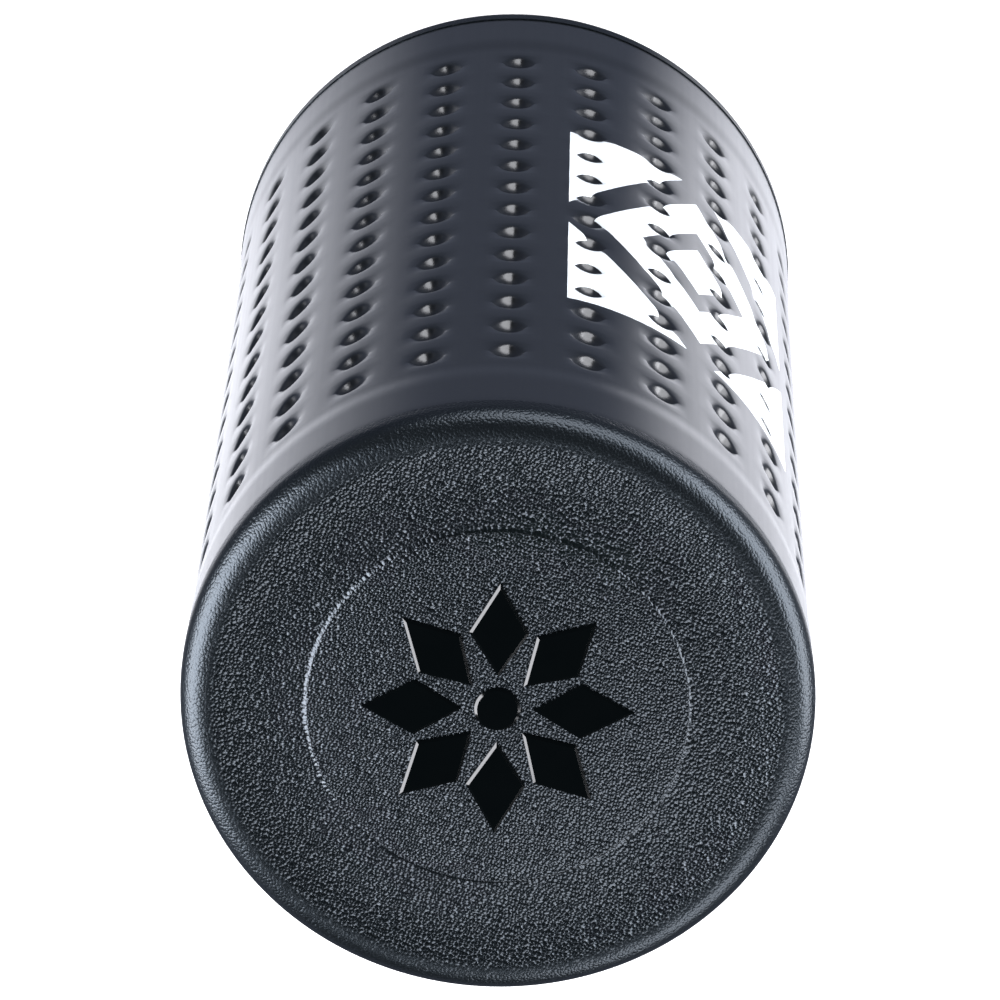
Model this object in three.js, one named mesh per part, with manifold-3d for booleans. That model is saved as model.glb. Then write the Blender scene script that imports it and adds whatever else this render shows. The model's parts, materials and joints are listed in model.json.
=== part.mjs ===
// A cylindrical hand shaker. A metal tube, its wall pressed into columns of small dimples, is closed at
// both ends by a moulded plastic cap that is pushed in, and steel pellets lie loose inside.
// Sizes are in millimetres. Z runs up the tube, and the origin is the middle of the end it stands on.
import * as THREE from "three";
import { mergeVertices } from "three/addons/utils/BufferGeometryUtils.js";
import Module from "manifold-3d";

const wasm = await Module();
wasm.setup();

// The whole shaker and its tube
const OVERALL_LENGTH = 108;
const TUBE_RADIUS = 27.4;
const TUBE_WALL = 1.2;

// The dimples that are pressed into the tube
const DIMPLE_COLUMNS = 24;
const DIMPLE_ROW_PITCH = 5.9;
const DIMPLE_WIDTH = 4;
const DIMPLE_HEIGHT = 3.5;
const DIMPLE_DEPTH = 0.8;
const PLAIN_BAND = 8.8; // least length of smooth wall at each end of the tube
const FIELD_RECESS = 0.15; // how far pressing draws the dimpled stretch in from the smooth bands
const FIELD_SLOPE = 1.4; // length of the slope between the two

// The outside of a cap
const CAP_OVERHANG = 0.1; // how far the cap's edge stands out from the tube
const CAP_FLANGE = 3.2; // what shows of the cap beyond the tube's end
const CAP_EDGE_RADIUS = 2.2;
const CAP_EDGE_STEPS = 4;
const CAP_SIDES = 48;
const LIP_WIDTH = 0.5; // flat top of the rim that the shaker stands on
const LIP_SLOPE = 1.4;
const FACE_DEPTH = 0.4; // how far the cap's face lies below the rim
const DISC_RADIUS = 16.5;
const DISC_HEIGHT = 0.2; // how far the middle disc rises from the face
const DISC_SLOPE = 0.3;

// The inside of a cap
const CAP_PLATE = 3.4; // from the rim to the floor that the pellets lie on
const SPIGOT_CLEARANCE = 0.2; // between the cap's ring and the tube's bore
const SPIGOT_WALL = 1.9;
const SPIGOT_END_GAP = 1; // between the end of the ring and the first dimples

// The raised star in the middle of a cap, level with the rim
const STAR_POINTS = 8;
const STAR_RADIUS = 11.8;
const STAR_SHOULDER = 7.2; // distance from the middle to the widest place of a point
const STAR_ROOT = 3.1; // distance from the middle to the inner tip of a point
const STAR_GAP = 0.8; // between two points of the star at their widest
const STAR_DOT_RADIUS = 2;
const STAR_DOT_SEGMENTS = 6; // to each quarter of the dot's edge
const STAR_KEY = 1; // how deep its solids reach into the cap's plate to join it

// The pellets
const PELLET_COUNT = 57;
const PELLET_DIAMETER = 4.5;
const PELLET_SPREAD = 1.1; // between neighbours as they lie spread over the cap's floor
const PELLET_REST_GAP = 0.1;
const PELLET_WALL_GAP = 0.3;
const PELLET_FACETING = 1;

// What follows from these sizes
const boreRadius = TUBE_RADIUS - TUBE_WALL;
const tubeLength = OVERALL_LENGTH - 2 * CAP_FLANGE;
const dimpleRows = Math.floor((tubeLength - 2 * PLAIN_BAND) / DIMPLE_ROW_PITCH);
const fieldStart = (OVERALL_LENGTH - dimpleRows * DIMPLE_ROW_PITCH) / 2;
const fieldRadius = TUBE_RADIUS - FIELD_RECESS;
const spigotRadius = boreRadius - SPIGOT_CLEARANCE;
const spigotEnd = fieldStart - SPIGOT_END_GAP;
const chamberRadius = Math.min(spigotRadius - SPIGOT_WALL, boreRadius - DIMPLE_DEPTH);
const pelletRadius = PELLET_DIAMETER / 2;
const pelletPitch = PELLET_DIAMETER + PELLET_SPREAD;

// Materials
const satinBlackPaint = { color: 0x24262a, roughness: 0.38, metalness: 0.3 };
const blackPlastic = { color: 0x1b1e22, roughness: 0.62, metalness: 0 };
const steel = { color: 0xb9bcc0, roughness: 0.3, metalness: 1 };

function namedMesh(name, geometry, finish) {
  const mesh = new THREE.Mesh(geometry, new THREE.MeshStandardMaterial(finish));
  mesh.name = name;
  return mesh;
}

// The tube's two walls are stacks of rings. A ring has two points to a column of dimples: an even one on
// the column's middle line, and an odd one halfway to the next column.
function tubeGeometry() {
  const positions = [];
  const triangles = [];
  const ringPoints = 2 * DIMPLE_COLUMNS;
  const columnAngle = (2 * Math.PI) / DIMPLE_COLUMNS;

  function point(radius, angle, z) {
    positions.push(radius * Math.cos(angle), radius * Math.sin(angle), z);
    return positions.length / 3 - 1;
  }

  function ring(radius, z) {
    return Array.from({ length: ringPoints }, (_, i) => point(radius, (i * columnAngle) / 2, z));
  }

  // A plain band between two rings, seen from the side where the second ring is above the first.
  function band(first, second) {
    for (let i = 0; i < ringPoints; i += 1) {
      const next = (i + 1) % ringPoints;
      triangles.push(first[i], first[next], second[next]);
      triangles.push(first[i], second[next], second[i]);
    }
  }

  // The six ring points round one dimple, from the upper right one, anticlockwise as seen from outside.
  function cellCorners(lower, upper, column) {
    const middle = 2 * column;
    const right = middle + 1;
    const left = (middle + ringPoints - 1) % ringPoints;
    return [upper[right], upper[middle], upper[left], lower[left], lower[middle], lower[right]];
  }

  // A six-sided pit whose sides run down to one point, with the wall between it and the ring points.
  function pit(corners, angle, z) {
    const bottom = point(fieldRadius - DIMPLE_DEPTH, angle, z);
    const edge = corners.map((_, i) => {
      const turn = (i * 2 * Math.PI) / corners.length;
      const across = (DIMPLE_WIDTH / 2) * Math.cos(turn);
      const along = (DIMPLE_HEIGHT / 2) * Math.sin(turn);
      return point(fieldRadius, angle + across / fieldRadius, z + along);
    });
    corners.forEach((corner, i) => {
      const next = (i + 1) % corners.length;
      triangles.push(edge[i], corner, edge[next]);
      triangles.push(corner, corners[next], edge[next]);
      triangles.push(edge[i], edge[next], bottom);
    });
  }

  // The wide low bump that the same dimple makes on the inside.
  function bump(corners, angle, z) {
    const top = point(boreRadius - DIMPLE_DEPTH, angle, z);
    corners.forEach((corner, i) => {
      triangles.push(corners[(i + 1) % corners.length], corner, top);
    });
  }

  function dimpledField(radius, cell) {
    const rings = Array.from({ length: dimpleRows + 1 }, (_, row) => {
      return ring(radius, fieldStart + row * DIMPLE_ROW_PITCH);
    });
    for (let row = 0; row < dimpleRows; row += 1) {
      const z = fieldStart + (row + 0.5) * DIMPLE_ROW_PITCH;
      for (let column = 0; column < DIMPLE_COLUMNS; column += 1) {
        cell(cellCorners(rings[row], rings[row + 1], column), column * columnAngle, z);
      }
    }
    return { lowest: rings[0], highest: rings[dimpleRows] };
  }

  const bottom = CAP_FLANGE;
  const top = OVERALL_LENGTH - CAP_FLANGE;
  const outer = dimpledField(fieldRadius, pit);
  const inner = dimpledField(boreRadius, bump);
  const profile = [
    outer.highest,
    ring(TUBE_RADIUS, OVERALL_LENGTH - fieldStart + FIELD_SLOPE),
    ring(TUBE_RADIUS, top),
    ring(boreRadius, top),
    inner.highest,
    inner.lowest,
    ring(boreRadius, bottom),
    ring(TUBE_RADIUS, bottom),
    ring(TUBE_RADIUS, fieldStart - FIELD_SLOPE),
    outer.lowest,
  ];
  // The dimpled fields close the two stretches that no plain band crosses.
  for (let i = 1; i < profile.length; i += 1) {
    const isField = profile[i] === inner.lowest;
    if (!isField) band(profile[i - 1], profile[i]);
  }

  const geometry = new THREE.BufferGeometry();
  geometry.setAttribute("position", new THREE.Float32BufferAttribute(positions, 3));
  geometry.setIndex(triangles);
  return geometry;
}

// Half of the cap's section, from the middle of its outer face round the rim and the ring that goes into
// the tube to the middle of its inner floor. Heights run inwards from the plane of the rim.
function capProfile() {
  const capRadius = TUBE_RADIUS + CAP_OVERHANG;
  const edgeRadius = Math.min(CAP_EDGE_RADIUS, CAP_FLANGE);
  const lipOuter = capRadius - edgeRadius;
  const lipInner = lipOuter - LIP_WIDTH;
  const profile = [
    [0, FACE_DEPTH - DISC_HEIGHT],
    [DISC_RADIUS, FACE_DEPTH - DISC_HEIGHT],
    [DISC_RADIUS + DISC_SLOPE, FACE_DEPTH],
    [lipInner - LIP_SLOPE, FACE_DEPTH],
    [lipInner, 0],
  ];
  for (let step = 0; step <= CAP_EDGE_STEPS; step += 1) {
    const turn = ((Math.PI / 2) * step) / CAP_EDGE_STEPS;
    profile.push([lipOuter + edgeRadius * Math.sin(turn), edgeRadius * (1 - Math.cos(turn))]);
  }
  profile.push(
    [capRadius, CAP_FLANGE],
    [spigotRadius, CAP_FLANGE],
    [spigotRadius, spigotEnd],
    [spigotRadius - SPIGOT_WALL, spigotEnd],
    [spigotRadius - SPIGOT_WALL, CAP_PLATE],
    [0, CAP_PLATE],
  );
  return profile.map(([radius, height]) => new THREE.Vector2(radius, height));
}

// One long kite of the star, with its inner tip near the middle.
function starPoint(angle) {
  const halfWidth = STAR_SHOULDER * Math.tan(Math.PI / STAR_POINTS) - STAR_GAP / 2;
  const corners = [
    [STAR_ROOT, 0],
    [STAR_SHOULDER, -halfWidth],
    [STAR_RADIUS, 0],
    [STAR_SHOULDER, halfWidth],
  ];
  const outline = corners.map(([along, across]) => new THREE.Vector2(along, across));
  return new THREE.Shape(outline.map((corner) => corner.rotateAround(new THREE.Vector2(), angle)));
}

function starGeometries() {
  const dot = new THREE.Shape().absarc(0, 0, STAR_DOT_RADIUS, 0, 2 * Math.PI);
  const shapes = [dot];
  for (let i = 0; i < STAR_POINTS; i += 1) {
    shapes.push(starPoint((i * 2 * Math.PI) / STAR_POINTS));
  }
  const settings = { depth: STAR_KEY, bevelEnabled: false, curveSegments: 2 * STAR_DOT_SEGMENTS };
  return shapes.map((shape) => new THREE.ExtrudeGeometry(shape, settings));
}

// A solid that can be joined to others, from a closed geometry. Its triangles that have no area, where a
// lathe's profile meets the axis, are left out.
function solidOf(geometry) {
  geometry.deleteAttribute("normal");
  geometry.deleteAttribute("uv");
  const merged = mergeVertices(geometry);
  const corners = merged.index.array;
  const triangles = [];
  for (let i = 0; i < corners.length; i += 3) {
    const [a, b, c] = [corners[i], corners[i + 1], corners[i + 2]];
    if (a !== b && b !== c && c !== a) triangles.push(a, b, c);
  }
  const vertProperties = merged.attributes.position.array;
  return new wasm.Manifold(
    new wasm.Mesh({ numProp: 3, vertProperties, triVerts: new Uint32Array(triangles) }),
  );
}

function geometryOf(solid) {
  const { vertProperties, triVerts } = solid.getMesh();
  const geometry = new THREE.BufferGeometry();
  geometry.setAttribute("position", new THREE.Float32BufferAttribute(vertProperties, 3));
  geometry.setIndex(Array.from(triVerts));
  return geometry;
}

function capGeometry() {
  const turned = new THREE.LatheGeometry(capProfile(), CAP_SIDES).rotateX(Math.PI / 2);
  let cap = solidOf(turned);
  for (const piece of starGeometries()) {
    cap = cap.add(solidOf(piece));
  }
  return geometryOf(cap);
}

// Places for the pellets on the lower cap's floor: rings from its wall inwards, and a layer above where
// one layer is full.
function pelletPlaces() {
  const places = [];
  const widestRing = chamberRadius - PELLET_WALL_GAP - pelletRadius;
  const lowest = CAP_PLATE + PELLET_REST_GAP + pelletRadius;
  for (let layer = 0; places.length < PELLET_COUNT; layer += 1) {
    const z = lowest + layer * (PELLET_DIAMETER + PELLET_REST_GAP);
    for (let ring = widestRing; ring > pelletPitch / 2; ring -= pelletPitch) {
      const room = Math.floor((2 * Math.PI * ring) / pelletPitch);
      for (let i = 0; i < room && places.length < PELLET_COUNT; i += 1) {
        const angle = (i * 2 * Math.PI) / room;
        places.push(new THREE.Vector3(ring * Math.cos(angle), ring * Math.sin(angle), z));
      }
    }
  }
  return places;
}

const shaker = new THREE.Group();
shaker.add(namedMesh("tube", tubeGeometry(), satinBlackPaint));
shaker.add(namedMesh("cap_lower", capGeometry(), blackPlastic));

const upperCap = namedMesh("cap_upper", capGeometry(), blackPlastic);
upperCap.rotation.x = Math.PI;
upperCap.position.z = OVERALL_LENGTH;
shaker.add(upperCap);

pelletPlaces().forEach((place, i) => {
  const number = String(i + 1).padStart(2, "0");
  const ball = new THREE.IcosahedronGeometry(pelletRadius, PELLET_FACETING);
  const pellet = namedMesh(`pellet_${number}`, ball, steel);
  pellet.position.copy(place);
  shaker.add(pellet);
});

export default shaker;
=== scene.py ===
# %% [markdown]
# # A hand shaker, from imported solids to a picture
# The shaker is a short metal tube pressed into columns of small dimples. A moulded plastic cap closes each
# end, and steel pellets lie loose inside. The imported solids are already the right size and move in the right
# way, but their dimples and curves are coarse. Here each piece gets a finer surface in the same place, and a
# finish that behaves like the real one.

import json
import math

import bmesh
import bpy
import numpy as np
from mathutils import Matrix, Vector


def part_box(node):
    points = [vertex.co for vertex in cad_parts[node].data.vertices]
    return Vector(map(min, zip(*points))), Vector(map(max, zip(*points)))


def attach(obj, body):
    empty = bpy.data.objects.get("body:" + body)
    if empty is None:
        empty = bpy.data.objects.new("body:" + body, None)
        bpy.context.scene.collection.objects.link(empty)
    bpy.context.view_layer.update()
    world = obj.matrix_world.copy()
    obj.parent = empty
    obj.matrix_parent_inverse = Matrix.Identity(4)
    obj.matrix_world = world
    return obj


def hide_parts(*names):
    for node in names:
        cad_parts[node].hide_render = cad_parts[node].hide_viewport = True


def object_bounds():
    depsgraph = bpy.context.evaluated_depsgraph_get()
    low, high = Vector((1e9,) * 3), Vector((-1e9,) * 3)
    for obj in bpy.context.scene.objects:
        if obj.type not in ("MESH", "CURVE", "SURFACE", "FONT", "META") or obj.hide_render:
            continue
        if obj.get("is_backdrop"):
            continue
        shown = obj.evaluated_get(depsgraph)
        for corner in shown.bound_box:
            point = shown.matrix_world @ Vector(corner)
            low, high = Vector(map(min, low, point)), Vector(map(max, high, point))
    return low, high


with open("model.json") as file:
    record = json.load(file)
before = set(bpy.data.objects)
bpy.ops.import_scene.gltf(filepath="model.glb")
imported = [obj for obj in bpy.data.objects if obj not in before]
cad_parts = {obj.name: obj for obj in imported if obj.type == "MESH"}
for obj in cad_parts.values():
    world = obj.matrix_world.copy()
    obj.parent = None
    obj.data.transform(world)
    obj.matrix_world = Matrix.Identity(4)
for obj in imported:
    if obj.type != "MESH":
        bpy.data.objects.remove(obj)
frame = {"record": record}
cad_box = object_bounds()
print("solids fill, in metres:", [round(high - low, 5) for low, high in zip(*cad_box)])

# %% [markdown]
# ## Sizes
# Everything is worked out in millimetres, because that is how such a product is drawn, and one factor turns
# the finished points into Blender's metres. The tube stands along Z with its lower end on the floor.

# %% Sizes in millimetres
MM = 0.001
OVERALL_LENGTH = 108
TUBE_RADIUS = 27.4
TUBE_WALL = 1.2
CAP_RADIUS = 27.5
CAP_FLANGE = 3.2
TUBE_BOTTOM = CAP_FLANGE
TUBE_TOP = OVERALL_LENGTH - CAP_FLANGE
print("tube length:", TUBE_TOP - TUBE_BOTTOM, "mm")

# %% [markdown]
# ## The camera
# The photograph looks steeply down on the upper cap with a long lens, so the tube runs away from the eye.
# The place, the turn and the lens were found by fitting a pinhole camera to the shaker's outline and to the
# rows of dimples, so the numbers are used as they came out.

# %% Camera
CAMERA_PLACE = (0.00296, 0.24348, 0.64492)
CAMERA_TURN_DEGREES = (-22.6186, 0.902, 1.3467)
CAMERA_LENS = 246.08
SENSOR_WIDTH = 36

camera_data = bpy.data.cameras.new("camera")
camera_data.sensor_width = SENSOR_WIDTH
camera_data.lens = CAMERA_LENS
camera = bpy.data.objects.new("camera", camera_data)
camera.location = CAMERA_PLACE
camera.rotation_euler = [math.radians(turn) for turn in CAMERA_TURN_DEGREES]
bpy.context.scene.collection.objects.link(camera)
bpy.context.scene.camera = camera
bpy.context.scene.view_settings.view_transform = "Standard"
print("camera is", round(camera.location.length, 3), "m from the floor under the shaker")

# %% [markdown]
# ## Helpers for finishes
# A hex colour is stored for screens, and a renderer works in linear light, so one function turns one into
# the other. A second one adds any kind of node. It sets what it is given as a number or a colour, and it
# links what it is given as a socket. Inputs go by name, or by number where names repeat. A Map Range takes
# the value as 0, its own range as 1 and 2, and the range that comes out as 3 and 4. A colour Mix takes the
# share as 0 and the two colours as 6 and 7.

# %% Colour and node helpers
def linear(hex_colour):
    """Turns #rrggbb to linear light: a low value is divided by 12.92, and any other has 0.055 added, is
    divided by 1.055 and raised to the power 2.4."""
    parts = np.array([int(hex_colour[i:i + 2], 16) for i in (1, 3, 5)]) / 255
    light = np.where(parts <= 0.04045, parts / 12.92, ((parts + 0.055) / 1.055) ** 2.4)
    return (*light.tolist(), 1.0)


def add_node(tree, kind, inputs=None, **settings):
    """Adds one node with its settings, sets or links its inputs, and returns it."""
    node = tree.nodes.new(kind)
    for name, value in settings.items():
        setattr(node, name, value)
    for name, value in (inputs or {}).items():
        if isinstance(value, bpy.types.NodeSocket):
            tree.links.new(value, node.inputs[name])
        else:
            node.inputs[name].default_value = value
    return node


def new_material(name):
    """Makes an empty node material and returns it with its tree."""
    material = bpy.data.materials.new(name)
    material.use_nodes = True
    material.node_tree.nodes.clear()
    return material, material.node_tree


print("mid grey #808080 is", round(linear("#808080")[0], 3), "in linear light")

# %% [markdown]
# ## Helpers for meshes
# Every piece here is a grid of points: rings along a tube, or a section turned about an axis. A grid needs
# only its points, worked out as one array. Its faces follow from the row and column numbers. Where two
# grids share an edge, or a ring has shrunk to a pole, points that lie in one place are merged.

# %% Points and faces of a grid
def stacked(*coordinates):
    """Spreads the coordinates to the shape that they share, and stacks them as a last axis."""
    return np.stack(np.broadcast_arrays(*coordinates), -1)


def grid_faces(rows, columns, closed):
    """Four-cornered faces of a grid of points that are numbered row by row. Corner one is (row, column),
    then come the next column, the next row of that column, and the next row. A closed grid joins its last
    column to its first."""
    row, column = np.meshgrid(np.arange(rows - 1), np.arange(columns - (not closed)), indexing="ij")
    following = (column + 1) % columns
    corners = [row * columns + column, row * columns + following]
    corners += [(row + 1) * columns + following, (row + 1) * columns + column]
    return np.stack(corners, -1).reshape(-1, 4)


def joined(parts):
    """Puts several pairs of points and faces after each other, with each pair's faces renumbered."""
    starts = np.cumsum([0] + [len(points) for points, _ in parts[:-1]])
    points = np.concatenate([points for points, _ in parts])
    faces = np.concatenate([faces + start for (_, faces), start in zip(parts, starts)])
    return points, faces


print("three closed rings of eight points make", len(grid_faces(3, 8, closed=True)), "faces")


# %% From points to a mesh object
MERGE_METRES = 1e-6
CREASE_DEGREES = 50


def make_piece(name, points, faces, crease_degrees=CREASE_DEGREES):
    """Makes a mesh object from points in millimetres, merges points in one place, and shades it smooth
    except at edges sharper than the crease."""
    mesh = bpy.data.meshes.new(name)
    mesh.from_pydata((points * MM).tolist(), [], faces.tolist())
    work = bmesh.new()
    work.from_mesh(mesh)
    bmesh.ops.remove_doubles(work, verts=work.verts, dist=MERGE_METRES)
    bmesh.ops.recalc_face_normals(work, faces=work.faces)
    work.to_mesh(mesh)
    open_edges = sum(1 for edge in work.edges if len(edge.link_faces) != 2)
    work.free()
    mesh.shade_smooth()
    mesh.set_sharp_from_angle(angle=math.radians(crease_degrees))
    piece = bpy.data.objects.new(name, mesh)
    bpy.context.scene.collection.objects.link(piece)
    print(name, "has", len(mesh.polygons), "faces and", open_edges, "open edges")
    return piece


print("points within", MERGE_METRES / MM, "mm of each other become one")


# %% Sections that are turned about the axis
ROUNDING_STEPS = 4


def rounded(corners, reach):
    """Rounds each corner of an open line by a quadratic curve: (1-t) squared times the start, plus 2t(1-t)
    times the corner, plus t squared times the end. Start and end lie on the corner's two sides, at its
    reach."""
    corners = np.array(corners, float)
    before = corners[:-2] - corners[1:-1]
    after = corners[2:] - corners[1:-1]
    reach = np.array(reach, float)[:, None]
    start = corners[1:-1] + reach * before / np.linalg.norm(before, axis=1, keepdims=True)
    end = corners[1:-1] + reach * after / np.linalg.norm(after, axis=1, keepdims=True)
    t = np.linspace(0, 1, ROUNDING_STEPS + 1)[:, None, None]
    curve = (1 - t) ** 2 * start + 2 * t * (1 - t) * corners[1:-1] + t**2 * end
    middle = curve.transpose(1, 0, 2).reshape(-1, 2)
    return np.concatenate([corners[:1], middle, corners[-1:]])


def turned(profile, turns):
    """Turns a line of (radius, height) about Z: x is radius times cosine, y is radius times sine."""
    angle = np.linspace(0, 2 * np.pi, turns, endpoint=False)
    radius, height = profile[:, :1], profile[:, 1:]
    points = stacked(radius * np.cos(angle), radius * np.sin(angle), height)
    return points.reshape(-1, 3), grid_faces(len(profile), turns, closed=True)


print("a rounded corner becomes", ROUNDING_STEPS, "short straight steps")

# %% [markdown]
# ## The dimpled tube
# The real tube is drawn aluminium. A punch presses each dimple, which has pointed ends to the left and
# right, a steep wall and a small rounded bottom, and it draws the metal round it into a shallow dish. A
# displaced flat grid would give such a pit a stepped edge. So each dimple has a cell of its own, whose rings
# of points follow the pit's outline and open out to the cell's four sides. All the cells are one array:
# column, row, ring and point. Neighbouring cells have the same points on the side between them.

# %% Sizes of the dimples
DIMPLE_COLUMNS = 24
DIMPLE_ROWS = 14
DIMPLE_ROW_PITCH = 5.9
FIELD_DEPTH = 0.15
FIELD_RADIUS = TUBE_RADIUS - FIELD_DEPTH
FIELD_SLOPE = 2.2
PIT_HALF_WIDTH = 1.55
PIT_HALF_HEIGHT = 1.5
PIT_DEPTH = 0.82
PIT_ROUNDNESS = 2.0
DISH_DEPTH = 0.15
DISH_SHARE = 0.5
CELL_POINTS = 24
CELL_SIDE_STEPS = CELL_POINTS // 4
PIT_RINGS = np.array([0, 0.22, 0.42, 0.62, 0.8, 0.94])
DISH_RINGS = np.array([0.03, 0.12, 0.27, 0.5, 1.0])

column_angle = 2 * np.pi / DIMPLE_COLUMNS
column_pitch = column_angle * FIELD_RADIUS
field_bottom = (OVERALL_LENGTH - DIMPLE_ROWS * DIMPLE_ROW_PITCH) / 2
print("dimples:", DIMPLE_COLUMNS * DIMPLE_ROWS)
print("pitch round and along the tube, in mm:", round(column_pitch, 2), DIMPLE_ROW_PITCH)


# %% One cell, flat
def triangle_wave(turn):
    """Goes evenly from 1 at no turn to -1 at half a turn, and back."""
    return 1 - 2 * np.abs((turn / np.pi + 1) % 2 - 1)


def cell_rings(pit_rings, dish_rings):
    """Across, along and depth of a cell's points, each as ring by point. A ring inside the pit is its share
    times half the width times cosine, and its share times half the height times sine times the sine's size
    to the power of the share squared. That is an ellipse at the bottom, and two parabolas that meet in a
    point at the rim. The pit is deeper by one less the share to the power of its roundness. Outside, a ring
    lies its share of the way to the cell's sides, and the dish fades as one less the share over its width,
    squared."""
    turn = np.arange(CELL_POINTS) * 2 * np.pi / CELL_POINTS
    share = np.append(pit_rings, 1)[:, None]
    pointed = np.sin(turn) * np.abs(np.sin(turn)) ** (share**2)
    rings = share[..., None] * stacked(PIT_HALF_WIDTH * np.cos(turn), PIT_HALF_HEIGHT * pointed)
    inside, outline = rings[:-1], rings[-1]
    limit = np.array([column_pitch, DIMPLE_ROW_PITCH]) / 2
    sides = stacked(triangle_wave(turn), triangle_wave(turn - np.pi / 2)) * 2 * limit
    sides = np.clip(sides, -limit, limit)
    outside = outline + dish_rings[:, None, None] * (sides - outline)
    dish = DISH_DEPTH * np.clip(1 - dish_rings / DISH_SHARE, 0, 1) ** 2
    depth = np.concatenate([DISH_DEPTH + PIT_DEPTH * (1 - pit_rings**PIT_ROUNDNESS), dish])
    places = np.concatenate([inside, outside])
    return places[..., 0], places[..., 1], np.broadcast_to(depth[:, None], places.shape[:2])


across, along, depth = cell_rings(PIT_RINGS, DISH_RINGS)
print("a cell has", depth.shape[0], "rings; its deepest point lies", round(float(depth.max()), 2), "mm down")


# %% All cells, wrapped round the tube
def dimpled_field():
    """Every cell's points: the angle is the column's plus across divided by the radius, the height is the
    row's plus along, and the radius is the field's less the depth."""
    columns = (np.arange(DIMPLE_COLUMNS) * column_angle)[:, None, None, None]
    rows = (field_bottom + (np.arange(DIMPLE_ROWS) + 0.5) * DIMPLE_ROW_PITCH)[None, :, None, None]
    angle = columns + across / FIELD_RADIUS
    radius = FIELD_RADIUS - depth
    points = stacked(radius * np.cos(angle), radius * np.sin(angle), rows + along)
    cell = grid_faces(len(depth), CELL_POINTS, closed=True)
    starts = np.arange(DIMPLE_COLUMNS * DIMPLE_ROWS) * depth.size
    return points.reshape(-1, 3), (cell + starts[:, None, None]).reshape(-1, 4)


field_points, field_faces = dimpled_field()
print("the dimpled field has", len(field_faces), "faces")


# %% Plain bands, bore and the finished tube
EDGE_BREAK = 0.15
SLOPE_ROUNDING = 0.9
FLAT_REACH = 1.2
# One rounding for each corner between the tube's end and the field of dimples.
BAND_ROUNDINGS = (0.05, 0.05, 0.1, SLOPE_ROUNDING, 0.9 * SLOPE_ROUNDING)


def plain_wall(line):
    """A line of (radius, height) turned about Z, with its points where the cells have theirs."""
    return turned(np.array(line, float), DIMPLE_COLUMNS * CELL_SIDE_STEPS)


bore = TUBE_RADIUS - TUBE_WALL
slope_foot = field_bottom - SLOPE_ROUNDING
slope_head = slope_foot - FIELD_SLOPE
lower_band = [(TUBE_RADIUS - EDGE_BREAK, TUBE_BOTTOM), (TUBE_RADIUS, TUBE_BOTTOM + EDGE_BREAK)]
lower_band += [(TUBE_RADIUS, TUBE_BOTTOM + FLAT_REACH), (TUBE_RADIUS, slope_head - FLAT_REACH)]
lower_band += [(TUBE_RADIUS, slope_head), (FIELD_RADIUS, slope_foot), (FIELD_RADIUS, field_bottom)]
lower_band = rounded(lower_band, BAND_ROUNDINGS)
upper_band = (lower_band * np.array([1, -1]) + np.array([0, OVERALL_LENGTH]))[::-1]
inside_line = [upper_band[-1], (bore, TUBE_TOP), (bore, TUBE_BOTTOM), lower_band[0]]
walls = [plain_wall(lower_band), plain_wall(upper_band), plain_wall(inside_line)]
tube = make_piece("dimpled_tube", *joined([(field_points, field_faces), *walls]))

# %% [markdown]
# ## The tube's finish: satin black enamel with a white print
# Enamel on a drawn tube is a black layer under a clear one, so it mirrors twice. Seen at a flat angle, as
# here, it mirrors most of the light. That is why the tube's sides look pale although the paint is black. The
# print is a traditional lozenge in a frame. It is rolled on after pressing, so the ink misses the bottoms of
# the pits. A picture of it would need a flat map of the tube. Steps of distance in nodes need none and stay
# sharp from any side.

# %% Sizes of the print and of the drawing lines
PRINT_ANGLE_DEGREES = 51
PRINT_HEIGHT = 56
PRINT_HALF_WIDTH = 13.5
PRINT_HALF_LENGTH = 22
CORE_SHARE = 0.26
RING_SHARE = 0.64
RING_HALF_SHARE = 0.18
CORNER_SHARE = 1.12
INK_REACH = 0.5
DRAWING_LINE_SPACING = 0.9
DRAWING_LINE_LENGTH = 40
DRAWING_LINE_DEPTH = 0.002
print("the print covers", 2 * PRINT_HALF_WIDTH, "by", 2 * PRINT_HALF_LENGTH, "mm")


# %% Where a place lies on the tube
def tube_coordinates(tree):
    """Distance round the tube, height and depth below the tube's radius, in millimetres: the angle whose
    tangent is y over x, times the radius; z; and the radius less the distance from the axis."""
    place = add_node(tree, "ShaderNodeTexCoord").outputs["Object"]
    scaled = add_node(tree, "ShaderNodeVectorMath", {0: place, 3: 1 / MM}, operation="SCALE").outputs[0]
    xyz = add_node(tree, "ShaderNodeSeparateXYZ", {0: scaled}).outputs
    angle = add_node(tree, "ShaderNodeMath", {0: xyz[1], 1: xyz[0]}, operation="ARCTAN2").outputs[0]
    arc = add_node(tree, "ShaderNodeMath", {0: angle, 1: TUBE_RADIUS}, operation="MULTIPLY").outputs[0]
    flat = add_node(tree, "ShaderNodeCombineXYZ", {0: xyz[0], 1: xyz[1]}).outputs[0]
    radius = add_node(tree, "ShaderNodeVectorMath", {0: flat}, operation="LENGTH").outputs["Value"]
    down = add_node(tree, "ShaderNodeMath", {0: TUBE_RADIUS, 1: radius}, operation="SUBTRACT").outputs[0]
    return arc, xyz[2], down


enamel, tree = new_material("satin_black_enamel_on_drawn_aluminium")
arc, height, down = tube_coordinates(tree)
print("nodes that measure the tube:", len(tree.nodes))


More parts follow.
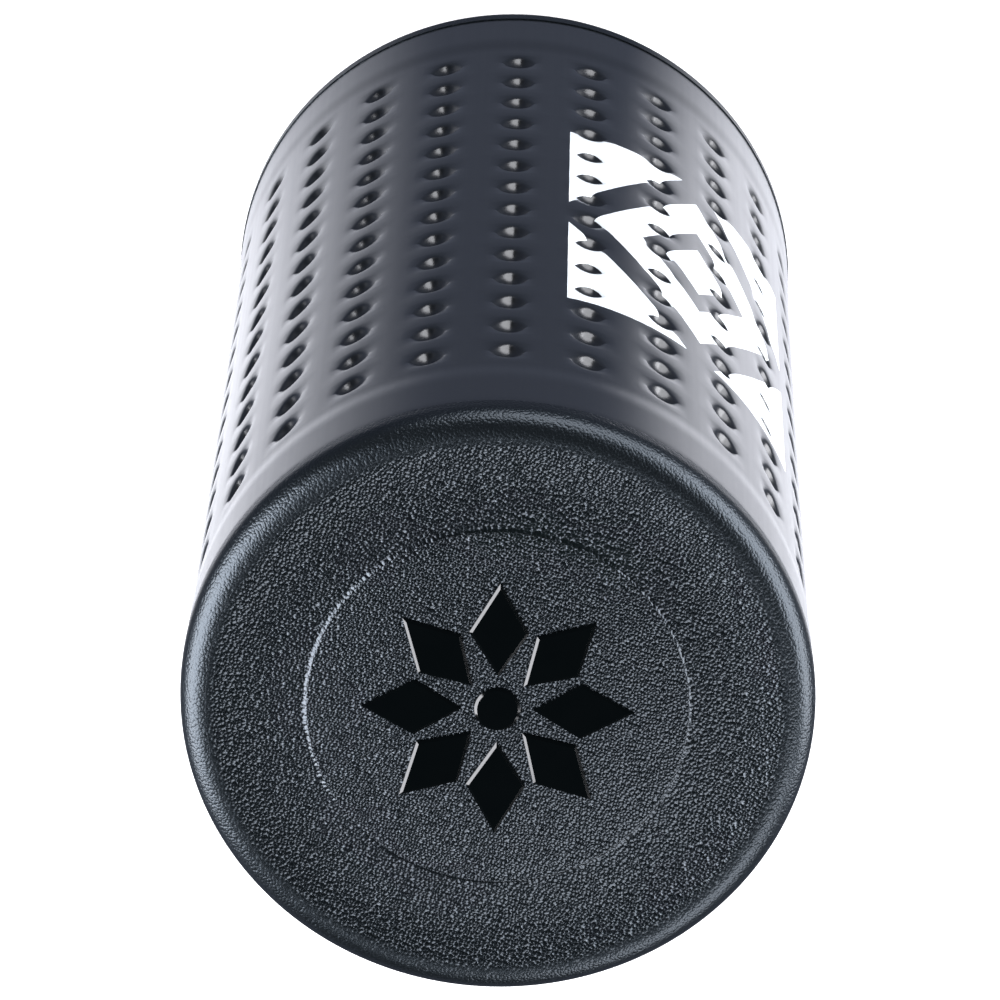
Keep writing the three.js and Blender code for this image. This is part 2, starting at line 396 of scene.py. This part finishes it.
# %% The print
def lozenge_print(tree, arc, height, down):
    """How much ink lies at a place, 0 or 1. The measure is distance across over the print's half width, plus
    distance along over its half length, so it is 1 on a lozenge that touches all four sides. Ink lies in a
    small core, in a ring and in the corners, where the tube isn't pressed in deeper than the ink reaches."""
    from_print = []
    for place, middle in ((arc, math.radians(PRINT_ANGLE_DEGREES) * TUBE_RADIUS), (height, PRINT_HEIGHT)):
        offset = add_node(tree, "ShaderNodeMath", {0: place, 1: middle}, operation="SUBTRACT").outputs[0]
        from_print.append(add_node(tree, "ShaderNodeMath", {0: offset}, operation="ABSOLUTE").outputs[0])
    across, along = from_print
    share = add_node(tree, "ShaderNodeMath", {0: across, 1: PRINT_HALF_WIDTH}, operation="DIVIDE").outputs[0]
    measure = add_node(tree, "ShaderNodeMath", {
        0: along, 1: 1 / PRINT_HALF_LENGTH, 2: share,
    }, operation="MULTIPLY_ADD").outputs[0]
    core = add_node(tree, "ShaderNodeMath", {0: measure, 1: CORE_SHARE}, operation="LESS_THAN").outputs[0]
    ring = add_node(tree, "ShaderNodeMath", {
        0: measure, 1: RING_SHARE, 2: RING_HALF_SHARE,
    }, operation="COMPARE").outputs[0]
    corners = add_node(tree, "ShaderNodeMath", {
        0: measure, 1: CORNER_SHARE,
    }, operation="GREATER_THAN").outputs[0]
    lozenge = add_node(tree, "ShaderNodeMath", {0: core, 1: ring}, operation="ADD").outputs[0]
    ink = add_node(tree, "ShaderNodeMath", {0: lozenge, 1: corners}, operation="ADD").outputs[0]
    for distance, limit in ((across, PRINT_HALF_WIDTH), (along, PRINT_HALF_LENGTH), (down, INK_REACH)):
        inside = add_node(tree, "ShaderNodeMath", {0: distance, 1: limit}, operation="LESS_THAN").outputs[0]
        ink = add_node(tree, "ShaderNodeMath", {0: ink, 1: inside}, operation="MULTIPLY").outputs[0]
    return ink


ink = lozenge_print(tree, arc, height, down)
print("nodes with the print:", len(tree.nodes))


# %% Satin black enamel
# It mirrors its surroundings softly, and most of all where it is seen edge on. The lines that drawing has
# left along the tube make the mirrored light a little uneven.
ENAMEL_BLACK = "#060a0f"
PRINT_WHITE = "#eef5fa"
ENAMEL_ROUGHNESS = (0.26, 0.34)
ENAMEL_IOR = 1.5
LACQUER_ROUGHNESS = 0.22

line_place = add_node(tree, "ShaderNodeCombineXYZ", {
    0: add_node(tree, "ShaderNodeMath", {0: arc, 1: DRAWING_LINE_SPACING}, operation="DIVIDE").outputs[0],
    1: add_node(tree, "ShaderNodeMath", {0: height, 1: DRAWING_LINE_LENGTH}, operation="DIVIDE").outputs[0],
}).outputs[0]
lines = add_node(tree, "ShaderNodeTexNoise", {"Vector": line_place, "Scale": 1.0, "Detail": 3.0}).outputs[0]
relief = add_node(tree, "ShaderNodeBump", {
    "Height": lines, "Strength": 1.0, "Distance": DRAWING_LINE_DEPTH * MM,
}).outputs[0]
colour = add_node(tree, "ShaderNodeMix", {
    0: ink, 6: linear(ENAMEL_BLACK), 7: linear(PRINT_WHITE),
}, data_type="RGBA").outputs[2]
sheen = add_node(tree, "ShaderNodeMapRange", {
    0: lines, 3: ENAMEL_ROUGHNESS[0], 4: ENAMEL_ROUGHNESS[1],
}).outputs[0]
shader = add_node(tree, "ShaderNodeBsdfPrincipled", {
    "Base Color": colour, "Roughness": sheen, "IOR": ENAMEL_IOR, "Normal": relief,
    "Coat Weight": 1.0, "Coat Roughness": LACQUER_ROUGHNESS, "Coat IOR": ENAMEL_IOR,
})
add_node(tree, "ShaderNodeOutputMaterial", {"Surface": shader.outputs[0]})
tube.data.materials.append(enamel)
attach(tube, "shell")
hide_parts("tube")
print("nodes of the finished enamel:", len(tree.nodes))

# %% [markdown]
# ## The end caps
# A cap is one moulding: a rounded edge that the shaker stands on, a face sunk below it, a raised disc in the
# middle, and a ring that fits inside the tube. All of that is round, so one section turned about the axis
# makes it. The upper cap is the same moulding turned over.

# %% Sizes of a cap
EDGE_RADIUS = 2.2
LIP_FLAT = 0.5
LIP_SLOPE = 3.2
FACE_DEPTH = 0.4
DISC_RADIUS = 16.5
DISC_HEIGHT = 0.16
DISC_SLOPE = 0.27
CAP_PLATE = 3.4
# One rounding for each corner of the face: the disc's edge and foot, then the lip's foot and top.
FACE_ROUNDINGS = (0.1, 0.1, 1.4, 0.45)
EDGE_STEPS = 12
SPIGOT_CLEARANCE = 0.2
SPIGOT_RADIUS = bore - SPIGOT_CLEARANCE
SPIGOT_WALL = 1.9
SPIGOT_TO_DIMPLES = 1
SPIGOT_END = field_bottom - SPIGOT_TO_DIMPLES
CAP_TURNS = 192
print("the cap's ring reaches", round(SPIGOT_END - CAP_FLANGE, 2), "mm into the tube")


# %% Both caps
def cap_section():
    """The cap's section as (radius, height above the rim's plane), from the middle of the face out over the
    rim and back along the inside. The edge is a quarter circle: radius plus sine, height one less cosine."""
    lip_outer = CAP_RADIUS - EDGE_RADIUS
    face = [(0, FACE_DEPTH - DISC_HEIGHT), (DISC_RADIUS, FACE_DEPTH - DISC_HEIGHT)]
    face += [(DISC_RADIUS + DISC_SLOPE, FACE_DEPTH), (lip_outer - LIP_FLAT - LIP_SLOPE, FACE_DEPTH)]
    face += [(lip_outer - LIP_FLAT, 0), (lip_outer, 0)]
    face = rounded(face, FACE_ROUNDINGS)
    turn = np.linspace(0, np.pi / 2, EDGE_STEPS + 1)[1:]
    edge = stacked(lip_outer + EDGE_RADIUS * np.sin(turn), EDGE_RADIUS * (1 - np.cos(turn)))
    hidden = [(CAP_RADIUS, CAP_FLANGE), (SPIGOT_RADIUS, CAP_FLANGE), (SPIGOT_RADIUS, SPIGOT_END)]
    hidden += [(SPIGOT_RADIUS - SPIGOT_WALL, SPIGOT_END), (SPIGOT_RADIUS - SPIGOT_WALL, CAP_PLATE)]
    return np.concatenate([face, edge, hidden, [(0, CAP_PLATE)]])


def turned_over(points):
    """The same points for the upper end: half a turn about X, then up by the length."""
    return points * np.array([1, -1, -1]) + np.array([0, 0, OVERALL_LENGTH])


cap_points, cap_faces = turned(cap_section(), CAP_TURNS)
cap_lower = make_piece("moulded_cap_lower", cap_points, cap_faces)
cap_upper = make_piece("moulded_cap_upper", turned_over(cap_points), cap_faces)

# %% [markdown]
# ## The star on each cap
# The middle of the disc carries a raised ornament. It is an eight-pointed star in the old compass style:
# eight kites round a dot, flat and polished on top, with a small bevel that catches the light. A kite is a
# convex outline, so its bevel is the same outline moved inwards.

# %% Sizes of the star
STAR_POINTS = 8
STAR_RADIUS = 11.8
STAR_SHOULDER = 7.2
STAR_ROOT = 3.1
STAR_GAP = 0.8
STAR_DOT_RADIUS = 2
STAR_DOT_CORNERS = 32
STAR_BEVEL = 0.24
STAR_BEVEL_DROP = 0.13
STAR_SEAT = FACE_DEPTH
STAR_CREASE_DEGREES = 20
print("the star stands", round(FACE_DEPTH - DISC_HEIGHT, 2), "mm above the disc, level with the rim")


# %% A raised pad with a bevel
def moved_in(outline, distance):
    """A convex outline with every side moved in by a distance. A side lies where its normal times a point is
    constant, and a new corner solves that for the two sides that meet there."""
    side = np.roll(outline, -1, axis=0) - outline
    normal = np.stack([side[:, 1], -side[:, 0]], -1) / np.linalg.norm(side, axis=1, keepdims=True)
    constant = (normal * outline).sum(1) - distance
    pairs = np.stack([np.roll(normal, 1, axis=0), normal], 1)
    return np.linalg.solve(pairs, np.stack([np.roll(constant, 1), constant], 1)[..., None])[..., 0]


def raised_pad(outline):
    """A pad with a bevel: the outline at its seat and at the bevel's foot, the outline moved in at the top,
    and its middle at both ends, which closes it."""
    inner = moved_in(outline, STAR_BEVEL)
    middle = np.repeat(outline.mean(0)[None], len(outline), 0)
    rings = [(middle, STAR_SEAT), (outline, STAR_SEAT), (outline, STAR_BEVEL_DROP), (inner, 0), (middle, 0)]
    points = [np.column_stack([places, np.full(len(places), level)]) for places, level in rings]
    return np.concatenate(points), grid_faces(len(rings), len(outline), closed=True)


print("a bevel falls", STAR_BEVEL_DROP, "mm over a width of", STAR_BEVEL, "mm")


# %% The star on both caps
def star():
    """Eight kites, each turned by an eighth, and the dot between their inner tips."""
    half_width = STAR_SHOULDER * math.tan(math.pi / STAR_POINTS) - STAR_GAP / 2
    kite = [(STAR_ROOT, 0), (STAR_SHOULDER, -half_width), (STAR_RADIUS, 0), (STAR_SHOULDER, half_width)]
    angle = np.arange(STAR_POINTS) * 2 * np.pi / STAR_POINTS
    turns = np.stack([np.cos(angle), -np.sin(angle), np.sin(angle), np.cos(angle)], -1).reshape(-1, 2, 2)
    kites = np.array(kite) @ turns.transpose(0, 2, 1)
    rim = np.linspace(0, 2 * np.pi, STAR_DOT_CORNERS, endpoint=False)
    dot = STAR_DOT_RADIUS * stacked(np.cos(rim), np.sin(rim))
    return joined([raised_pad(outline) for outline in [*kites, dot]])


star_points, star_faces = star()
star_lower = make_piece("star_lower", star_points, star_faces, STAR_CREASE_DEGREES)
star_upper = make_piece("star_upper", turned_over(star_points), star_faces, STAR_CREASE_DEGREES)

# %% [markdown]
# ## The caps' finish: grained and polished ABS
# ABS copies the steel of its mould. Where the mould is spark-eroded, the plastic comes out as a coarse
# grain, whose small slopes each mirror the lamps from another place and so sparkle. Past the lip the mould's
# grain is finer and flatter, so the rim looks smooth and shows one soft line of light. The star's part of
# the mould is polished, so the same black plastic is glossy there. A displaced mesh would need millions of
# faces for such grains, so they are a bump made from cells, each one pebble wide.

# %% Sizes and gloss of the grain
ABS_BLACK = "#010304"
ABS_IOR = 1.54
GRAIN_WIDTH = 0.32
DISC_GRAIN_WIDTH = 0.29
RIM_GRAIN_WIDTH = 0.24
GRAIN_HEIGHT = 0.074
RIM_RADIUS = 25.2
RIM_BLEND = 0.8
RIM_GRAIN_SHARE = 0.5
FACE_ROUGHNESS = 0.27
RIM_ROUGHNESS = 0.36
FACE_SPARKLE = 0.35
RIM_SPARKLE = 0.2
SKIN_ROUGHNESS = 0.1
VEIL_TINT = "#dceeff"
print("grains across the cap's face:", round(2 * RIM_RADIUS / GRAIN_WIDTH))

# %% Grained ABS
# It is near black, with round pebbles. Its dull body gives a soft, slightly blue veil, and its thin glossy
# skin sends a lamp to the eye from one small spot on each pebble.
grained_abs, tree = new_material("black_abs_with_spark_eroded_grain")
place = add_node(tree, "ShaderNodeTexCoord").outputs["Object"]
flat_place = add_node(tree, "ShaderNodeVectorMath", {
    0: place, 1: (1, 1, 0),
}, operation="MULTIPLY").outputs[0]
from_axis = add_node(tree, "ShaderNodeVectorMath", {0: flat_place}, operation="LENGTH").outputs["Value"]
on_disc = add_node(tree, "ShaderNodeMath", {
    0: from_axis, 1: DISC_RADIUS * MM,
}, operation="LESS_THAN").outputs[0]
face_grains = add_node(tree, "ShaderNodeMapRange", {
    0: on_disc, 3: 1 / (GRAIN_WIDTH * MM), 4: 1 / (DISC_GRAIN_WIDTH * MM),
}).outputs[0]
past_lip = add_node(tree, "ShaderNodeMath", {
    0: from_axis, 1: RIM_RADIUS * MM,
}, operation="GREATER_THAN").outputs[0]
grains_per_metre = add_node(tree, "ShaderNodeMapRange", {
    0: past_lip, 3: face_grains, 4: 1 / (RIM_GRAIN_WIDTH * MM),
}).outputs[0]
from_grain = add_node(tree, "ShaderNodeTexVoronoi", {
    "Vector": place, "Scale": grains_per_metre,
}).outputs["Distance"]
# The square of the distance from a grain's middle is the bowl that is turned over to a pebble.
bowl = add_node(tree, "ShaderNodeMath", {0: from_grain, 1: 2.0}, operation="POWER").outputs[0]
on_rim = add_node(tree, "ShaderNodeMapRange", {
    0: from_axis, 1: (RIM_RADIUS - RIM_BLEND) * MM, 2: RIM_RADIUS * MM,
}).outputs[0]
grain_share = add_node(tree, "ShaderNodeMapRange", {0: on_rim, 3: 1.0, 4: RIM_GRAIN_SHARE}).outputs[0]
dullness = add_node(tree, "ShaderNodeMapRange", {0: on_rim, 3: FACE_ROUGHNESS, 4: RIM_ROUGHNESS}).outputs[0]
sparkle = add_node(tree, "ShaderNodeMapRange", {0: on_rim, 3: FACE_SPARKLE, 4: RIM_SPARKLE}).outputs[0]
relief = add_node(tree, "ShaderNodeBump", {
    "Height": bowl, "Strength": grain_share, "Distance": GRAIN_HEIGHT * MM,
}, invert=True).outputs[0]
shader = add_node(tree, "ShaderNodeBsdfPrincipled", {
    "Base Color": linear(ABS_BLACK), "Roughness": dullness, "IOR": ABS_IOR, "Normal": relief,
    "Specular Tint": linear(VEIL_TINT), "Coat Weight": sparkle, "Coat Roughness": SKIN_ROUGHNESS,
    "Coat Normal": relief,
})
add_node(tree, "ShaderNodeOutputMaterial", {"Surface": shader.outputs[0]})
print("nodes of the grained finish:", len(tree.nodes))

# %% Polished ABS
# It is a dark mirror with a slight wave, so the star looks wet beside the grain.
POLISH_WAVE = 3.0
POLISH_WAVE_HEIGHT = 0.002
POLISH_ROUGHNESS = (0.08, 0.14)

polished_abs, tree = new_material("black_abs_from_a_polished_mould")
place = add_node(tree, "ShaderNodeTexCoord").outputs["Object"]
wave = add_node(tree, "ShaderNodeTexNoise", {"Vector": place, "Scale": 1 / (POLISH_WAVE * MM)}).outputs[0]
relief = add_node(tree, "ShaderNodeBump", {
    "Height": wave, "Strength": 1.0, "Distance": POLISH_WAVE_HEIGHT * MM,
}).outputs[0]
shine = add_node(tree, "ShaderNodeMapRange", {
    0: wave, 3: POLISH_ROUGHNESS[0], 4: POLISH_ROUGHNESS[1],
}).outputs[0]
shader = add_node(tree, "ShaderNodeBsdfPrincipled", {
    "Base Color": linear(ABS_BLACK), "Roughness": shine, "IOR": ABS_IOR, "Normal": relief,
})
add_node(tree, "ShaderNodeOutputMaterial", {"Surface": shader.outputs[0]})
print("the polished mould's waves are", POLISH_WAVE, "mm wide")

# %% Caps and stars get their finish
for piece, node in ((cap_lower, "cap_lower"), (cap_upper, "cap_upper")):
    piece.data.materials.append(grained_abs)
    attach(piece, "shell")
    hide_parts(node)
for piece in (star_lower, star_upper):
    piece.data.materials.append(polished_abs)
    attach(piece, "shell")
print("caps and stars ride on the shell")

# %% [markdown]
# ## The pellets
# The filling is tumbled steel shot. The solids hold it as four rings of balls on the lower cap's floor, and
# each ring moves by itself. Each ball could be an object of its own, but a ring moves as one, so each ring
# is one mesh. A ball is a half circle turned about its own axis, and it is copied to every solid's place.

# %% One ball and its copies
PELLET_DIAMETER = 4.5
BALL_STEPS = 9
BALL_TURNS = 14


def balls(centres):
    """A ball at each centre, in millimetres: radius times sine out and minus cosine up, turned about Z."""
    turn = np.linspace(0, np.pi, BALL_STEPS)
    half_circle = np.stack([np.sin(turn), -np.cos(turn)], -1) * PELLET_DIAMETER / 2
    points, faces = turned(half_circle, BALL_TURNS)
    return joined([(points + centre, faces) for centre in centres])


print("a ball has", (BALL_STEPS - 1) * BALL_TURNS, "faces")

# %% Tumbled steel
# Steel is a bright mirror with dull scuffs, so a ball glints unevenly as it rolls.
STEEL_GREY = "#b9bbbf"
SCUFF_WIDTH = 0.8
STEEL_ROUGHNESS = (0.16, 0.42)

steel, tree = new_material("tumbled_steel_shot")
place = add_node(tree, "ShaderNodeTexCoord").outputs["Object"]
scuffs = add_node(tree, "ShaderNodeTexNoise", {
    "Vector": place, "Scale": 1 / (SCUFF_WIDTH * MM), "Detail": 4.0,
}).outputs[0]
dull = add_node(tree, "ShaderNodeMapRange", {
    0: scuffs, 3: STEEL_ROUGHNESS[0], 4: STEEL_ROUGHNESS[1],
}).outputs[0]
shader = add_node(tree, "ShaderNodeBsdfPrincipled", {
    "Base Color": linear(STEEL_GREY), "Metallic": 1.0, "Roughness": dull,
})
add_node(tree, "ShaderNodeOutputMaterial", {"Surface": shader.outputs[0]})
print("a scuff is about", SCUFF_WIDTH, "mm wide")

# %% A ring of balls for each body
for body, nodes in frame["record"]["behaviour"]["bodies"].items():
    if body != "shell":
        centres = [np.array(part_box(node)).mean(0) / MM for node in nodes]
        shot = make_piece("steel_shot_" + body.removeprefix("pellets_"), *balls(centres))
        shot.data.materials.append(steel)
        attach(shot, body)
        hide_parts(*nodes)

# %% [markdown]
# ## The table
# The photograph's ground is pure white. A white table lit that hard would flood the shaker with light, so
# the table adds its whiteness only to what the camera sees, and to what the shaker mirrors. What it really
# receives from the lamps is added to that, so the shaker's shadow stays on it. Daylight is a little blue
# beside the picture's white, and so is the table where the shaker mirrors it.

# %% The table top
TABLE_SIDE_METRES = 6.0

half_side = TABLE_SIDE_METRES / 2
table_corners = [(x * half_side, y * half_side, 0) for x, y in ((-1, -1), (1, -1), (1, 1), (-1, 1))]
table_mesh = bpy.data.meshes.new("table")
table_mesh.from_pydata(table_corners, [], [(0, 1, 2, 3)])
table = bpy.data.objects.new("table", table_mesh)
bpy.context.scene.collection.objects.link(table)
table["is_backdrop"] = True
print("the table is", TABLE_SIDE_METRES, "m wide")

# %% White table top
# The table is plain white to the eye, with a faint shadow where the shaker stands.
PICTURE_WHITE = "#ffffff"
DAYLIGHT = "#edf0ff"
TABLE_ALBEDO = "#d8d8d8"
SEEN_WHITE = 0.75
MIRRORED_WHITE = 0.65

white_table, tree = new_material("white_table_top")
ray = add_node(tree, "ShaderNodeLightPath").outputs
seen = add_node(tree, "ShaderNodeMath", {
    0: ray["Is Camera Ray"], 1: SEEN_WHITE,
}, operation="MULTIPLY").outputs[0]
glow = add_node(tree, "ShaderNodeMath", {
    0: ray["Is Glossy Ray"], 1: MIRRORED_WHITE, 2: seen,
}, operation="MULTIPLY_ADD").outputs[0]
glow_colour = add_node(tree, "ShaderNodeMix", {
    0: ray["Is Camera Ray"], 6: linear(DAYLIGHT), 7: linear(PICTURE_WHITE),
}, data_type="RGBA").outputs[2]
added = add_node(tree, "ShaderNodeEmission", {"Color": glow_colour, "Strength": glow})
lit = add_node(tree, "ShaderNodeBsdfDiffuse", {"Color": linear(TABLE_ALBEDO)})
shader = add_node(tree, "ShaderNodeAddShader", {0: lit.outputs[0], 1: added.outputs[0]})
add_node(tree, "ShaderNodeOutputMaterial", {"Surface": shader.outputs[0]})
table_mesh.materials.append(white_table)
print("the table's own whiteness, seen and mirrored:", SEEN_WHITE, MIRRORED_WHITE)

# %% The room
ROOM_LIGHT = 0.03

world = bpy.data.worlds.new("studio")
bpy.context.scene.world = world
world.use_nodes = True
world.node_tree.nodes.clear()
tree = world.node_tree
ray = add_node(tree, "ShaderNodeLightPath").outputs
strength = add_node(tree, "ShaderNodeMapRange", {0: ray["Is Camera Ray"], 3: ROOM_LIGHT, 4: 1.0}).outputs[0]
surround = add_node(tree, "ShaderNodeBackground", {"Color": linear(PICTURE_WHITE), "Strength": strength})
add_node(tree, "ShaderNodeOutputWorld", {"Surface": surround.outputs[0]})
print("the room is white to the camera, and lights the shaker at", ROOM_LIGHT)

# %% [markdown]
# ## The painted reflection sheet
# A black shaker on a white table would mirror white all round, but the tube should look dark along its middle
# and in its pits. That dark is a painted reflection: a sheet round the piece glows a dim blue grey, and only
# mirrored rays see it, so it casts no shadow and the camera never sees it. It leaves the table's mirrored
# white bare only close by on both sides, which paints the tube's pale sides. The sheet fades slowly to the
# left and quickly to the right.

# %% Painted reflection sheet, seen only in the shaker
# These lengths are in metres, because the sheet belongs to the room.
SHEET_CENTRE = 0.013
SHEET_INNER = 0.012
SHEET_OUTER = 1.5
SHEET_LIFT = 0.0005
SHEET_TURNS = 48

turn = np.linspace(0, 2 * np.pi, SHEET_TURNS, endpoint=False)
reach = np.array([[SHEET_INNER], [SHEET_OUTER]])
sheet_points = stacked(reach * np.sin(turn), SHEET_CENTRE + reach * np.cos(turn), SHEET_LIFT)
sheet_faces = grid_faces(len(reach), SHEET_TURNS, closed=True)
painted_reflection_mesh = bpy.data.meshes.new("painted_reflection_sheet")
painted_reflection_mesh.from_pydata(sheet_points.reshape(-1, 3).tolist(), [], sheet_faces.tolist())
sheet = bpy.data.objects.new("painted_reflection_sheet", painted_reflection_mesh)
bpy.context.scene.collection.objects.link(sheet)
# Painted reflection: hidden from the camera, from bounced light and from shadows, the sheet darkens only what
# the shaker mirrors.
sheet.visible_camera = False
sheet.visible_diffuse = False
sheet.visible_shadow = False
sheet.visible_transmission = False
sheet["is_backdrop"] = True
print("the sheet lies", SHEET_LIFT / MM, "mm above the table")

# %% Painted reflection sheet with a white gap
# The sheet paints a reflection: the enamel's deep, slightly blue middle, and the black in each pit. Where it
# is clear, the table's mirrored white shows instead and paints the tube's bright sides. Angles count from the
# camera's side of the shaker. The white is whole up to the first distance, in metres, and has faded away at
# the second.
PAINTED_REFLECTION_COLOUR = "#d4e0ff"
PAINTED_REFLECTION_GREY = 0.18
LEFT_FADE_DEGREES = (28, 146)
RIGHT_FADE_DEGREES = (40, 86)
RIGHT_GAP_SHARE = 0.9
WHITE_REACH = (0.035, 0.125)

painted_reflection_sheet, tree = new_material("painted_reflection_sheet_with_a_white_gap")
place = add_node(tree, "ShaderNodeTexCoord").outputs["Object"]
outward = add_node(tree, "ShaderNodeVectorMath", {
    0: place, 1: (0, SHEET_CENTRE, 0),
}, operation="SUBTRACT").outputs[0]
distance = add_node(tree, "ShaderNodeVectorMath", {0: outward}, operation="LENGTH").outputs["Value"]
xyz = add_node(tree, "ShaderNodeSeparateXYZ", {0: outward}).outputs
side = add_node(tree, "ShaderNodeMath", {0: xyz[0], 1: xyz[1]}, operation="ARCTAN2").outputs[0]
right_start, right_end = (math.radians(turn) for turn in RIGHT_FADE_DEGREES)
right = add_node(tree, "ShaderNodeMapRange", {
    0: side, 1: right_start, 2: right_end, 4: RIGHT_GAP_SHARE,
}, interpolation_type="SMOOTHSTEP").outputs[0]
left_start, left_end = (-math.radians(turn) for turn in LEFT_FADE_DEGREES)
left = add_node(tree, "ShaderNodeMapRange", {
    0: side, 1: left_start, 2: left_end,
}, interpolation_type="SMOOTHSTEP").outputs[0]
near = add_node(tree, "ShaderNodeMapRange", {
    0: distance, 1: WHITE_REACH[1], 2: WHITE_REACH[0],
}, interpolation_type="SMOOTHSTEP").outputs[0]
beside = add_node(tree, "ShaderNodeMath", {0: right, 1: left}, operation="MAXIMUM").outputs[0]
# Painted reflection mask: where it is 1 the sheet is clear, so the table's mirrored white paints the tube's
# bright sides.
clear = add_node(tree, "ShaderNodeMath", {0: beside, 1: near}, operation="MULTIPLY").outputs[0]
# Painted reflection: a dim blue grey glow, which paints the tube's dark middle and the black in its pits.
grey = add_node(tree, "ShaderNodeEmission", {"Color": linear(PAINTED_REFLECTION_COLOUR), "Strength": PAINTED_REFLECTION_GREY})
gap = add_node(tree, "ShaderNodeBsdfTransparent")
shader = add_node(tree, "ShaderNodeMixShader", {0: clear, 1: grey.outputs[0], 2: gap.outputs[0]})
add_node(tree, "ShaderNodeOutputMaterial", {"Surface": shader.outputs[0]})
painted_reflection_mesh.materials.append(painted_reflection_sheet)
print("white table shows in the shaker up to", WHITE_REACH[1] / MM, "mm from the sheet's centre")

# %% [markdown]
# ## Soft light
# Five softboxes do the work. A strong one at the left draws the bright line on the cap's edge, and a wide
# one at the right draws the grey side of it. A low one at the back puts the bright spot in each pit. A small
# one high at the left makes the grains sparkle, and a small one close above the cap lights its near right
# side most. A lamp's power is its brightness times pi times its area, so that a lamp of brightness 1 would
# look exactly as white as the picture's white.

# %% Softboxes
LAMP_COLOUR = "#f6f7fc"


def add_softbox(name, place, aim, width, height, brightness):
    """Places an area lamp so that it faces its aim, with place and sides in metres. Its power is brightness
    times pi times width times height."""
    lamp = bpy.data.lights.new(name, "AREA")
    lamp.shape = "RECTANGLE"
    lamp.size = width
    lamp.size_y = height
    lamp.energy = brightness * math.pi * width * height
    lamp.color = linear(LAMP_COLOUR)[:3]
    softbox = bpy.data.objects.new(name, lamp)
    softbox.location = place
    away = softbox.location - Vector(aim)
    softbox.rotation_euler = away.to_track_quat("Z", "Y").to_euler()
    softbox.visible_camera = False
    bpy.context.scene.collection.objects.link(softbox)
    print(name, "gives", round(lamp.energy, 2), "W")


CAP_MIDDLE = (0, 0, OVERALL_LENGTH * MM)
TUBE_MIDDLE = (0, 0, OVERALL_LENGTH * MM / 2)
add_softbox("softbox_left", (-0.45, -0.10, 0.34), CAP_MIDDLE, 0.50, 0.48, 12.0)
add_softbox("softbox_right", (0.49, 0.04, 0.22), CAP_MIDDLE, 0.70, 0.40, 8.0)
add_softbox("softbox_back", (0.17, 0.42, 0.15), TUBE_MIDDLE, 0.56, 0.24, 5.0)
add_softbox("softbox_spark", (-0.25, -0.22, 0.61), CAP_MIDDLE, 0.10, 0.10, 14.0)
add_softbox("softbox_front", (0.09, -0.17, 0.25), CAP_MIDDLE, 0.13, 0.13, 6.0)

# %% [markdown]
# ## The box at the end
# The dressed shaker must fill the same box as its solids. Its box is measured again, and the last line prints
# the largest difference between the two boxes, in millimetres.

# %% Sizes at the end
visual_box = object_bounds()
difference = np.abs(np.array(cad_box) - np.array(visual_box)).max() / MM
print("largest difference, in mm:", round(difference, 3))
